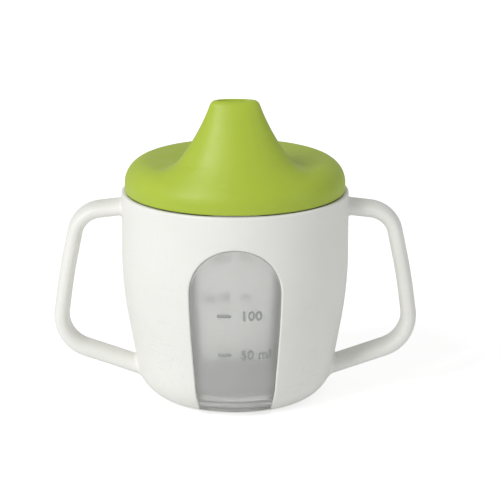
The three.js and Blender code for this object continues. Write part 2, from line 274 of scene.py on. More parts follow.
def u_at_height(z):
    """u of the outer face's point at height z."""
    if z >= SIDE_CURVE_Z:
        return 3 + (z - SIDE_CURVE_Z) / (RIM_Z - SIDE_CURVE_Z)
    if z >= CURVE_START[1]:
        return 3 + math.asin((z - SIDE_CURVE_Z) / SIDE_CURVE_R) / TAPER
    if z >= CORNER_END[1]:
        return 1 + (z - CORNER_END[1]) / (CURVE_START[1] - CORNER_END[1])
    return (math.asin((z - CORNER_R) / CORNER_R) + math.pi / 2) / CORNER_TURN


def u_at_corner_radius(r):
    """u of the outer face's point at radius r, in the round corner."""
    return (math.pi / 2 - math.acos((r - CORNER_CENTRE_R) / CORNER_R)) / CORNER_TURN


def inset_over_floor(u, inset, floor_z, blend=0.0):
    """The inset of a wall that stops at a flat floor: the level floor_z bounds it from below."""
    angle = -math.pi / 2 + np.clip(u, 0, 1) * CORNER_TURN
    to_floor = CORNER_R - (CORNER_R - floor_z) / np.maximum(np.abs(np.sin(angle)), 1e-6)
    to_floor = np.where(np.asarray(u) < 1, to_floor, -10.0)
    return blend_cut(to_floor, inset + 0 * to_floor, blend)


ARCH_STEPS = 56                     # columns across a window
SIDE_STEPS = 96                     # columns from one window to the other
LOW_ROWS = 60                       # rows up to the windows' springing line
HIGH_ROWS = 40                      # rows above it
WINDOW_CENTRES = (0.0, math.pi)
RIM_U = 4


def arch_columns(margin):
    """Angles and heights along a window's arch, moved outwards by margin."""
    turn = np.linspace(0, math.pi, ARCH_STEPS + 1)
    angles = -(WINDOW_HALF + margin) / RIM_R * np.cos(turn)
    heights = WINDOW_SPRING_Z + (WINDOW_ARCH + margin) * np.sin(turn)
    return angles, heights


def window_flare(u):
    """Extra angle that keeps a window's sides nearly straight where the beaker rounds under."""
    lowest = u_at_corner_radius(WINDOW_BOTTOM_R)
    share = np.clip((WINDOW_FLARE_U - np.asarray(u)) / (WINDOW_FLARE_U - lowest), 0, None)
    return WINDOW_FLARE * share ** 2


def window_side(margin, u):
    """Angle from a window's middle to its straight side, moved outwards by margin."""
    return (WINDOW_HALF + margin) / RIM_R + window_flare(u)


def side_columns(margin, u):
    """Angles across one solid side, from one window's edge to the other's. One row for each u."""
    edge = window_side(margin, np.asarray(u))[..., None]
    return edge + (math.pi - 2 * edge) * np.linspace(0, 1, SIDE_STEPS + 1)


def upper_columns(margin):
    """Angle and lowest u of every column above the windows and their springing line."""
    angles, starts = [], []
    for centre in WINDOW_CENTRES:
        arch_angles, arch_heights = arch_columns(margin)
        angles += list(centre + arch_angles)
        starts += [u_at_height(z) for z in arch_heights]
        beside = centre + side_columns(margin, RIM_U)[1:-1]
        angles += list(beside)
        starts += [u_at_height(WINDOW_SPRING_Z)] * len(beside)
    return np.array(angles), np.array(starts)


def low_rows(bottom_r):
    """u from a window's bottom edge up to its springing line."""
    return np.linspace(u_at_corner_radius(bottom_r), u_at_height(WINDOW_SPRING_Z), LOW_ROWS + 1)


def wall_above(surface, margin, inset, top_u):
    """The part of a wall over the windows and over the springing line."""
    angles, starts = upper_columns(margin)
    share = np.linspace(0, 1, HIGH_ROWS + 1)[:, None]
    u = starts + (top_u - starts) * share
    r, z = side_at(inset, u)
    surface.grid(around(angles, r, z), wrap=True)


def wall_beside(surface, margin, inset, rows):
    """The solid sides of a wall, between the windows. inset has one value for each row."""
    r, z = side_at(inset, rows)
    for centre in WINDOW_CENTRES:
        surface.grid(around(centre + side_columns(margin, rows), r[:, None], z[:, None]))


def window_edge(surface, rows, across, fade):
    """A strip up the sides and round the arch of each window.

    across lists a margin and a function inset(u, fade) for each line along the strip. fade has one
    value for each row, and is 0 at the bottom row, where the edge's rounding dies out.
    """
    for centre in WINDOW_CENTRES:
        for side in (-1, 1):
            strips = []
            for margin, inset in across:
                r, z = side_at(inset(rows, fade), rows)
                strips.append(around(centre + side * window_side(margin, rows), r, z))
            surface.grid(strips)
        strips = []
        for margin, inset in across:
            angles, heights = arch_columns(margin)
            u = np.array([u_at_height(z) for z in heights])
            r, z = side_at(inset(u, np.ones_like(u)), u)
            strips.append(around(centre + angles, r, z))
        surface.grid(strips)


def rounded_edge(outer_margin, inner_margin, outer_inset, wide):
    """(margin, inset) pairs of a strip: a flat part, then a quarter round down to the edge."""
    direction = 1 if outer_margin > inner_margin else -1
    pairs = [(outer_margin, lambda u, fade: np.full_like(u, outer_inset))]
    for turn in np.linspace(0, math.pi / 2, 6):
        margin = inner_margin + direction * wide * (1 - math.sin(turn))
        depth = wide * (1 - math.cos(turn))
        pairs.append((margin, lambda u, fade, depth=depth: outer_inset + depth * fade))
    return pairs


def bottom_angles(edge_margins, window_angles, margin, u):
    """Angles of the ring under the windows: edge strips, window columns and solid sides."""
    edge = np.array([window_side(edge_margin, u) for edge_margin in edge_margins])
    angles = []
    for centre in WINDOW_CENTRES:
        angles += list(centre - edge)
        angles += list(centre + window_angles[1:-1])
        angles += list(centre + edge[::-1])
        angles += list(centre + side_columns(margin, u)[1:-1])
    return np.array(angles)


# ------------------------------ jacket


def make_jacket(material):
    """The white jacket: a thin wall and floor with two arched windows and rounded edges."""
    surface = Surface()
    rows = low_rows(WINDOW_BOTTOM_R)
    fade = ramp(rows, rows[0], rows[0] + 0.12)
    inner_inset = inset_over_floor(rows, JACKET_WALL, JACKET_FLOOR_Z)
    strip = 1.0                     # width of the strip that leads to the rounded edge
    edge = rounded_edge(strip, 0.0, 0.0, WINDOW_EDGE)
    top_u = u_at_height(RIM_Z - RIM_ROUND)

    wall_beside(surface, strip, 0 * rows, rows)
    wall_above(surface, strip, 0.0, top_u)
    wall_beside(surface, WINDOW_SPREAD, inner_inset, rows)
    wall_above(surface, WINDOW_SPREAD, JACKET_WALL, top_u)
    window_edge(surface, rows, edge, fade)

    def reveal(share):
        def inset(u, fade):
            inner = inset_over_floor(u, JACKET_WALL, JACKET_FLOOR_Z)
            return WINDOW_EDGE * fade + (inner - WINDOW_EDGE * fade) * share
        return inset

    shares = np.linspace(0, 1, 4)
    window_edge(surface, rows, [(WINDOW_SPREAD * share, reveal(share)) for share in shares], fade)

    # the cut's lower end, over the underside
    across = np.linspace(-1, 1, 17)
    window_angles = across * window_side(0.0, rows[0])
    r, z = side_at(shares * inner_inset[0], rows[0])
    end_angles = across * window_side(WINDOW_SPREAD * shares, rows[0])[:, None]
    for centre in WINDOW_CENTRES:
        surface.grid(around(centre + end_angles, r[:, None], z[:, None]))

    # underside: gate mark, recess, foot ring and the start of the round corner
    angles = bottom_angles([margin for margin, _ in edge], window_angles, strip, rows[0])
    corner_r, corner_z = side_at(0.0, np.linspace(0, rows[0], 5))
    gate_z = BASE_RECESS + 0.25
    under = [(0.7, gate_z), (1.3, gate_z - 0.05), (1.6, BASE_RECESS)]
    under += [(r, BASE_RECESS) for r in np.linspace(3, FOOT_INNER_R - 1.6, 7)]
    under += [(FOOT_INNER_R - 1.1, BASE_RECESS - 0.15), (FOOT_INNER_R - 0.8, BASE_RECESS - 0.5)]
    under += [(FOOT_INNER_R - 0.35, 0.5), (FOOT_INNER_R - 0.05, 0.12), (FOOT_INNER_R + 0.4, 0.0)]
    under += list(zip(corner_r, corner_z))
    surface.grid([around(angles, r, z) for r, z in under], wrap=True)
    surface.fan((0, 0, gate_z), around(angles, *under[0]))

    # floor, seen through the cup
    floor_r, floor_z = side_at(inner_inset[0], rows[0])
    edge_of_floor = bottom_angles([WINDOW_SPREAD], end_angles[-1], WINDOW_SPREAD, rows[0])
    surface.grid([around(edge_of_floor, r, floor_z) for r in np.linspace(0.5, floor_r, 12)], wrap=True)
    surface.fan((0, 0, floor_z), around(edge_of_floor, 0.5, floor_z))

    # rim
    outer_angles, _ = upper_columns(strip)
    inner_angles, _ = upper_columns(WINDOW_SPREAD)
    inner_round = 0.4
    turns = np.linspace(0, math.pi / 2, 6)
    rim = [(RIM_R - RIM_ROUND + RIM_ROUND * math.cos(t), RIM_Z - RIM_ROUND + RIM_ROUND * math.sin(t))
           for t in turns]
    middle = RIM_R - JACKET_WALL + inner_round
    rim += [(middle - inner_round * math.sin(t), RIM_Z - inner_round + inner_round * math.cos(t))
            for t in turns]
    rim.append((RIM_R - JACKET_WALL, RIM_Z - RIM_ROUND))
    shares = np.linspace(0, 1, len(rim))
    surface.grid([around(outer_angles * (1 - s) + inner_angles * s, r, z)
                  for s, (r, z) in zip(shares, rim)], wrap=True)
    return surface.build("jacket", material)


# ------------------------------ thread


def thread_height(angle, z, start_z, span):
    """Height of the thread ribs at places on a cylinder, with tapered ends."""
    height = np.zeros(np.broadcast(angle, z).shape)
    from_x = np.degrees(angle) - 90
    for start in range(STARTS):
        turned = (from_x - 360 / STARTS * start - span[0]) % 360 + span[0]
        centre = start_z + LEAD * turned / 360
        across = np.abs(z - centre)
        crest = 1 - ramp(across, THREAD_HALF_WIDTH * 0.7, THREAD_HALF_WIDTH * 1.4)
        ends = ramp(turned, span[0], span[0] + 5) * (1 - ramp(turned, span[1] - 5, span[1]))
        height = np.maximum(height, THREAD_HEIGHT * crest * ends)
    return height


# ------------------------------ inner cup


def make_cup(material):
    """The translucent cup: panes that fill the windows, a threaded neck and a round lip."""
    surface = Surface()
    rows = low_rows(WINDOW_BOTTOM_R + GAP)
    fade = ramp(rows, rows[0], rows[0] + 0.12)
    wall_inset = inset_over_floor(rows, CUP_OUTER, CUP_UNDER_Z)
    top_u = u_at_height(SHOULDER_Z - 1.1)

    wall_margin = PANE_MARGIN + WINDOW_SPREAD
    wall_beside(surface, wall_margin, wall_inset, rows)
    wall_above(surface, wall_margin, CUP_OUTER, top_u)

    # panes, their rounded edges and their sides
    face_margin = PANE_MARGIN - PANE_EDGE
    edge = rounded_edge(face_margin - 0.01, PANE_MARGIN, PANE_INSET, PANE_EDGE)[1:]
    window_edge(surface, rows, edge, fade)

    def side_of_pane(share):
        def inset(u, fade):
            wall = inset_over_floor(u, CUP_OUTER, CUP_UNDER_Z)
            start = PANE_INSET + PANE_EDGE * fade
            return start + (wall - start) * share
        return inset

    shares = np.linspace(0, 1, 3)
    margins = PANE_MARGIN + WINDOW_SPREAD * shares
    window_edge(surface, rows, [(m, side_of_pane(share)) for m, share in zip(margins, shares)], fade)
    arch_angles, arch_heights = arch_columns(face_margin)
    tops = np.array([u_at_height(z) for z in arch_heights])
    share_of_height = (rows - rows[0]) / (rows[-1] - rows[0])
    u = rows[0] + (tops - rows[0]) * share_of_height[:, None]
    r, z = side_at(PANE_INSET, u)
    widen = window_side(face_margin, u) / window_side(face_margin, RIM_U)
    lower_r, lower_z = side_at(PANE_INSET + (wall_inset[0] - PANE_INSET) * shares, rows[0])
    spread = WINDOW_SPREAD * shares
    end_angles = arch_angles / arch_angles[-1] * window_side(face_margin + spread, rows[0])[:, None]
    for centre in WINDOW_CENTRES:
        surface.grid(around(centre + arch_angles * widen, r, z))
        surface.grid(around(centre + end_angles, lower_r[:, None], lower_z[:, None]))
        for side in (-1, 1):
            # the lower end of the rounded edges
            surface.grid([around(centre + side * window_side(margin + spread, rows[0]), lower_r, lower_z)
                          for margin, _ in edge])

    # underside
    under_edge = [margin + WINDOW_SPREAD for margin, _ in edge[::-1]]
    angles = bottom_angles(under_edge, end_angles[-1], wall_margin, rows[0])
    under_r, under_z = side_at(wall_inset[0], rows[0])
    surface.grid([around(angles, r, under_z) for r in np.linspace(0.5, under_r, 12)], wrap=True)
    surface.fan((0, 0, under_z), around(angles, 0.5, under_z))

    # shoulder, threaded neck and lip
    columns, _ = upper_columns(wall_margin)
    shoulder_r = RIM_R - CUP_OUTER
    rings = [around(columns, shoulder_r, SHOULDER_Z - 1.1)]
    for r, z in [(-0.15, -0.75), (-0.5, -0.5), (-1.1, -0.3)]:
        rings.append(around(columns, shoulder_r + r, SHOULDER_Z + z))
    rings.append(around(columns, NECK_R + 0.25, SHOULDER_Z - 0.1))
    for z in np.arange(SHOULDER_Z + 0.1, NECK_TOP_Z - 0.45, 0.2):
        ribs = thread_height(columns, z, NECK_THREAD_Z, NECK_THREAD_SPAN)
        rings.append(around(columns, NECK_R + ribs, z))
    for turn in np.linspace(0, math.pi / 2, 6):
        rings.append(around(columns, NECK_R - NECK_LIP * (1 - math.cos(turn)),
                            NECK_TOP_Z - NECK_LIP * (1 - math.sin(turn))))
    for turn in np.linspace(0, math.pi / 2, 6):
        rings.append(around(columns, NECK_INNER_R + NECK_LIP * (1 - math.sin(turn)),
                            NECK_TOP_Z - NECK_LIP * (1 - math.cos(turn))))
    for share in np.linspace(0, 1, 9):
        r = NECK_INNER_R + (RIM_R - CUP_INNER - NECK_INNER_R) * ramp(share, 0, 1)
        rings.append(around(columns, r, SHOULDER_Z - 1.2 - 1.6 * share))

    # inner wall, down to where the floor is flat, and floor
    wall_top = u_at_height(SHOULDER_Z - 3.0)
    parts = [np.linspace(wall_top, 3, 16), np.linspace(3, 1, 36)[1:], np.linspace(1, 0.28, 40)[1:]]
    inner_u = np.concatenate(parts)
    inner_inset = inset_over_floor(inner_u, CUP_INNER, CUP_FLOOR_Z, CUP_CORNER_R)
    inner_r, inner_z = side_at(inner_inset, inner_u)
    rings += [around(columns, r, z) for r, z in zip(inner_r, inner_z)]
    rings += [around(columns, r, inner_z[-1]) for r in np.linspace(inner_r[-1], 0.5, 12)[1:]]
    surface.grid(rings, wrap=True)
    surface.fan((0, 0, inner_z[-1]), rings[-1])
    return surface.build("translucent_cup", material)


def label_mesh(label):
    """A raised label as a mesh, flat, with its foot on the X axis."""
    curve = bpy.data.curves.new("label", "FONT")
    curve.body = label
    curve.size = LABEL_SIZE
    curve.space_character = 1.08
    curve.extrude = 0.16
    curve.bevel_depth = 0.06
    curve.offset = 0.07
    curve.resolution_u = 5
    text = bpy.data.objects.new("label", curve)
    bpy.context.scene.collection.objects.link(text)
    bpy.context.view_layer.update()
    mesh = bpy.data.meshes.new_from_object(text)
    bpy.data.objects.remove(text)
    return mesh


def line_rings(steps=24):
    """Rings of (x, y, height) that make a low bar with round ends, from its foot to its top."""
    rings = []
    for height, grow in [(-0.1, 0.0), (0.12, 0.0), (0.19, -0.1)]:
        ring = []
        for turn in np.linspace(0, TAU, steps + 1)[:-1]:
            c, s = math.cos(turn), math.sin(turn)
            x = math.copysign(LINE_HALF_LENGTH - LINE_HALF_WIDTH, c) + (LINE_HALF_WIDTH + grow) * c
            ring.append((x + LINE_X, (LINE_HALF_WIDTH + grow) * s, height))
        rings.append(ring)
    return rings


def make_graduations(material):
    """Raised lines and numbers on both panes."""
    vertices, faces = [], []

    def add(points, polygons, centre, z):
        """Wraps points (across, up, height above the pane) onto the pane, about the height z."""
        start = len(vertices)
        for x, y, height in points:
            r, level = side_at(PANE_INSET - height, u_at_height(z + y))
            vertices.append(tuple(around(centre + x / (RIM_R - PANE_INSET), r, level) * MM))
        faces.extend(tuple(start + i for i in polygon) for polygon in polygons)

    rings = line_rings()
    count = len(rings[0])
    line_points = [point for ring in rings for point in ring]
    line_faces = [tuple(range(count)), tuple(range(len(line_points) - count, len(line_points)))]
    for below in range(0, len(line_points) - count, count):
        for i in range(count):
            beside = below + (i + 1) % count
            line_faces.append((below + i, beside, beside + count, below + count + i))
    for centre in WINDOW_CENTRES:
        for label, z in GRADUATIONS:
            letters = label_mesh(label)
            points = [(v.co.x + LABEL_X, v.co.y - LABEL_DROP, v.co.z - 0.05) for v in letters.vertices]
            add(points, [tuple(p.vertices) for p in letters.polygons], centre, z)
            add(line_points, line_faces, centre, z)
    mesh = bpy.data.meshes.new("graduations")
    mesh.from_pydata(vertices, [], faces)
    return finish_mesh("graduations", mesh, material)


# ------------------------------ lid


def spout_distance(x, y, z):
    """Signed distance, near enough, to the spout: ovals whose half sizes grow with depth."""
    depth = SPOUT_TOP_Z - z
    half_width, front, back = [
        at_tip + growth * depth + bulge * depth * depth
        for at_tip, growth, bulge in (SPOUT_HALF_WIDTH, SPOUT_FRONT, SPOUT_BACK)
    ]
    half_depth = np.where(y < SPOUT_Y, front, back)
    dy = y - SPOUT_Y
    size = np.hypot(x / half_width, dy / half_depth)
    slope = np.hypot(x / half_width ** 2, dy / half_depth ** 2)
    side = np.where(slope < 1e-9, -half_depth, size * (size - 1) / np.maximum(slope, 1e-9))
    return blend_cut(side, z - SPOUT_TOP_Z, SPOUT_EDGE)


def lid_distance(x, y, z):
    """Signed distance to the lid: a rounded disc with the spout blended into it."""
    radius = np.hypot(x, y)
    outwards = radius - (LID_R - LID_ROUNDING)
    upwards = z - (LID_TOP_Z - LID_ROUNDING)
    corner = np.hypot(np.maximum(outwards, 0), np.maximum(upwards, 0))
    plain = corner + np.minimum(np.maximum(outwards, upwards), 0) - LID_ROUNDING
    fade = np.clip((LID_R - radius) / 6, 0, 1)      # no fillet where the spout meets the skirt
    spout = blend_cut(spout_distance(x, y, z), radius - LID_R, 3)
    return blend_union(plain, spout, SPOUT_BLEND * fade)


def tip_recess_distance(x, y, z):
    """Signed distance to the shallow oval dish in the spout's tip."""
    half_x, half_y = TIP_RECESS_HALF
    power = 2.6                     # 2 is an ellipse, and larger is squarer
    size = (np.abs(x / half_x) ** power + np.abs((y - SPOUT_Y) / half_y) ** power) ** (1 / power)
    return blend_cut((size - 1) * half_y, SPOUT_TOP_Z - TIP_RECESS - z, 0.5)


LID_FOCUS = np.array([0.0, -10.0, LID_BOTTOM_Z - 20])


def lid_surface(direction, inset):
    """Where rays from the lid's focus leave the surface that lies inset below the lid's."""
    near = np.zeros(direction.shape[:-1])
    far = np.full(direction.shape[:-1], 90.0)       # beyond the lid in every direction
    for _ in range(34):
        middle = (near + far) / 2
        point = LID_FOCUS + direction * middle[..., None]
        x, y, z = point[..., 0], point[..., 1], point[..., 2]
        distance = lid_distance(x, y, z) + inset
        if inset == 0:
            distance = blend_cut(distance, -tip_recess_distance(x, y, z), 0.4)
        inside = distance < 0
        near = np.where(inside, middle, near)
        far = np.where(inside, far, middle)
    return LID_FOCUS + direction * far[..., None]


def lid_meridians(rim, inset, rows):
    """Grid of surface points from the tip to the rim, closer together where the surface turns."""
    tip = unit(np.array([0, SPOUT_Y, SPOUT_TOP_Z - inset]) - LID_FOCUS)
    ends = unit(rim - LID_FOCUS)
    share = np.linspace(0, 1, 600)[:, None, None]
    fine = lid_surface(unit(tip * (1 - share) + ends * share), inset)
    steps = np.diff(fine, axis=0)
    length = np.linalg.norm(steps, axis=-1)
    ways = unit(steps)
    turn = np.arccos(np.clip((ways[1:] * ways[:-1]).sum(axis=-1), -1, 1))
    # rows are spaced by length and by how much the surface turns, evened out round the lid
    weight = length
    weight[1:] += 3.0 * turn
    weight = weight.mean(axis=1)[:, None] * 0.35 + weight * 0.65
    travelled = np.concatenate([np.zeros((1, len(rim))), np.cumsum(weight, axis=0)])
    share_at = np.empty((rows, len(rim)))
    for i in range(len(rim)):
        wanted = np.linspace(0, travelled[-1, i], rows)
        share_at[:, i] = np.interp(wanted, travelled[:, i], share[:, 0, 0])
    direction = unit(tip * (1 - share_at[..., None]) + ends * share_at[..., None])
    return lid_surface(direction, inset)


def make_lid(material):
    """The lid's outer face, its skirt's edge, the threaded inside and the space in the spout."""
    surface = Surface()
    turns = np.linspace(0, TAU, 241)[:-1]
    skirt_inner = LID_R - LID_WALL
    edge = 0.45                     # rounding of the skirt's outer edge
    thread_top_z = 77.4

    rows = list(lid_meridians(around(turns, LID_R, LID_BOTTOM_Z + edge), 0.0, 150))
    for turn in np.linspace(0, math.pi / 2, 6)[1:]:
        r = LID_R - edge * (1 - math.cos(turn))
        rows.append(around(turns, r, LID_BOTTOM_Z + edge * (1 - math.sin(turn))))
    rows.append(around(turns, skirt_inner + 0.3, LID_BOTTOM_Z))
    rows.append(around(turns, skirt_inner + 0.08, LID_BOTTOM_Z + 0.08))
    thread_z = NECK_THREAD_Z - LEAD / STARTS / 2
    rounding = LID_ROUNDING - LID_WALL
    for z in np.arange(LID_BOTTOM_Z + 0.3, thread_top_z, 0.2):
        above = max(z - (LID_TOP_Z - LID_ROUNDING), 0)
        wall = LID_R - LID_ROUNDING + math.sqrt(rounding ** 2 - above ** 2)
        ribs = thread_height(turns, z, thread_z, LID_THREAD_SPAN)
        rows.append(around(turns, wall - ribs, z))
    inner = lid_meridians(rows[-1], LID_WALL, 90)
    rows += list(inner[::-1][1:])
    surface.grid(rows[1:-1], wrap=True)
    surface.fan(rows[0][0], rows[1])
    surface.fan(rows[-1][0], rows[-2])
    lid = surface.build("lid_with_spout", material)
    holes = [(place * DRINK_HOLE_PITCH, SPOUT_Y, DRINK_HOLE_R, SPOUT_TOP_Z) for place in (-1, 0, 1)]
    holes.append((0.0, VENT_Y, VENT_R, LID_TOP_Z))
    drill(lid, holes, 4.0)
    return lid


def drill(obj, holes, reach):
    """Cuts round vertical holes, given as (x, y, radius, z of the surface), through a piece."""
    work = bmesh.new()
    sides = 32
    turns = np.linspace(0, TAU, sides + 1)[:-1]
    for x, y, radius, z in holes:
        rim = [(x + radius * math.cos(turn), y + radius * math.sin(turn)) for turn in turns]
        low = [work.verts.new((px * MM, py * MM, (z - reach) * MM)) for px, py in rim]
        high = [work.verts.new((px * MM, py * MM, (z + reach) * MM)) for px, py in rim]
        work.faces.new(low[::-1])
        work.faces.new(high)
        for i in range(sides):
            j = (i + 1) % sides
            work.faces.new((low[i], low[j], high[j], high[i]))
    mesh = bpy.data.meshes.new("drill")
    work.to_mesh(mesh)
    work.free()
    tool = bpy.data.objects.new("drill", mesh)
    bpy.context.scene.collection.objects.link(tool)
    cut = obj.modifiers.new("holes", "BOOLEAN")
    cut.operation = "DIFFERENCE"
    cut.solver = "EXACT"
    cut.object = tool
    bpy.context.view_layer.update()
    result = bpy.data.meshes.new_from_object(obj.evaluated_get(bpy.context.evaluated_depsgraph_get()))
    obj.modifiers.remove(cut)
    obj.data = result
    bpy.data.objects.remove(tool)
    result.shade_smooth()
    result.set_sharp_from_angle(angle=math.radians(40))


# ------------------------------ seal


def make_seal(material):
    """A flat silicone ring with rounded edges."""
    surface = Surface()
    angles = np.linspace(0, TAU, 161)[:-1]
    middle_r = (SEAL_HIGH.x + SEAL_INNER_R) / 2
    middle_z = (SEAL_LOW.z + SEAL_HIGH.z) / 2
    half_r = (SEAL_HIGH.x - SEAL_INNER_R) / 2
    half_z = (SEAL_HIGH.z - SEAL_LOW.z) / 2
    rings = []
    for turn in np.linspace(0, TAU, 33):
        c, s = math.cos(turn), math.sin(turn)
        r = middle_r + half_r * math.copysign(abs(c) ** 0.45, c)
        z = middle_z + half_z * math.copysign(abs(s) ** 0.7, s)
        rings.append(around(angles, r, z))
    surface.grid(rings, wrap=True)
    return surface.build("seal_ring", material)


# ------------------------------ handles


def bar_section(steps=40):
    """Outline of the bar, a superellipse: (across, along the depth) and outward normals."""
    turns = np.linspace(0, TAU, steps + 1)[:-1]
    power = 2 / BAR_SQUARENESS
    c = np.sign(np.cos(turns)) * np.abs(np.cos(turns)) ** power
    s = np.sign(np.sin(turns)) * np.abs(np.sin(turns)) ** power
    half_t, half_d = BAR_THICKNESS / 2, BAR_DEPTH / 2
    slope = BAR_SQUARENESS - 1
    normals = [np.sign(c) * np.abs(c) ** slope / half_t, np.sign(s) * np.abs(s) ** slope / half_d]
    normals = np.stack(normals, axis=-1)
    return np.stack([half_t * c, half_d * s], axis=-1), unit(normals)


def run(start, end, steps):
    """Points and directions along a straight part of the bar."""
    way = unit(end - start)
    return [(start + (end - start) * k / steps, way) for k in range(steps + 1)]


def handle_path():
    """Points and directions along the bar's middle, in (x, z), with rounded bends."""
    corners = [np.array(c) for c in HANDLE_CORNERS]
    path = []
    start = corners[0]
    for i, bend in enumerate(HANDLE_BENDS):
        before = unit(corners[i] - corners[i + 1])
        after = unit(corners[i + 2] - corners[i + 1])
        half = math.acos(np.clip(before @ after, -1, 1)) / 2
        centre = corners[i + 1] + unit(before + after) * bend / math.sin(half)
        first = corners[i + 1] + before * bend / math.tan(half)
        path += run(start, first, 10)
        arm = first - centre
        for turn in np.linspace(0, 2 * half - math.pi, 17)[1:]:
            c, s = math.cos(turn), math.sin(turn)
            spun = np.array([arm[0] * c - arm[1] * s, arm[0] * s + arm[1] * c])
            path.append((centre + spun, unit(np.array([spun[1], -spun[0]]))))
        start = path[-1][0]
    path += run(start, corners[-1], 10)[1:]
    return path


def outer_radius(z):
    """Radius of the jacket's outer face at heights z."""
    u = np.array([u_at_height(min(max(value, 0.01), RIM_Z)) for value in np.ravel(z)])
    return side_at(0.0, u)[0].reshape(np.shape(z))


def root_rings(origin, way, section, normals, fillet):
    """Rings that flare a bar's root into the jacket. way points out of the jacket."""
    across = np.array([-way[1], way[0]])
    reach = 30.0                    # the rays that find the jacket start this far outside
    seat = 0.03                     # how far the fillet's rim lies under the jacket's face
    sink = 0.6
    rings = []
    for turn in np.linspace(math.pi / 2, 0, 9):
        grown = section + normals * fillet * (1 - math.cos(turn))
        lift = fillet * (1 - math.sin(turn)) - seat
        x = origin[0] + across[0] * grown[:, 0] + way[0] * reach
        z = origin[1] + across[1] * grown[:, 0] + way[1] * reach
        y = grown[:, 1]
        near, far = np.zeros(len(x)), np.full(len(x), 2 * reach)
        for _ in range(40):
            middle = (near + far) / 2
            px, pz = x - way[0] * middle, z - way[1] * middle
            outside = np.hypot(px, y) > outer_radius(pz)
            near = np.where(outside, middle, near)
            far = np.where(outside, far, middle)
        back = far - lift
        rings.append(np.stack([x - way[0] * back, y, z - way[1] * back], axis=-1))
    sunk = rings[0].copy()
    sunk[:, 0] -= way[0] * sink
    sunk[:, 2] -= way[1] * sink
    return [sunk, *rings]


def make_handle(name, side, material):
    """A handle: side is -1 for the one on the left and 1 for the one on the right."""
    section, normals = bar_section()
    path = handle_path()
    top_way = path[0][1]
    bottom_way = -path[-1][1]
    rings = root_rings(path[0][0], top_way, section, normals, ROOT_FILLETS[0])
    for point, way in path:
        if point[0] - outer_radius(point[1]) > ROOT_CLEAR:
            across = np.array([-way[1], way[0]])
            x = point[0] + across[0] * section[:, 0]
            z = point[1] + across[1] * section[:, 0]
            rings.append(np.stack([x, section[:, 1], z], axis=-1))
    flipped = section * [-1, 1]
    end = root_rings(path[-1][0], bottom_way, flipped, normals * [-1, 1], ROOT_FILLETS[1])
    rings += end[::-1]
    rings = np.array(rings)
    rings[..., 0] *= side
    surface = Surface()
    surface.grid(rings, wrap=True)
    surface.fan(rings[0].mean(axis=0), rings[0])
    surface.fan(rings[-1].mean(axis=0), rings[-1])
    return surface.build(name, material, sharp_degrees=60)


# ------------------------------ materials


# The colour sockets of a Mix node, whose names it shares with other types
MIX_COLOURS = (6, 7)
MIXED_COLOUR = 2


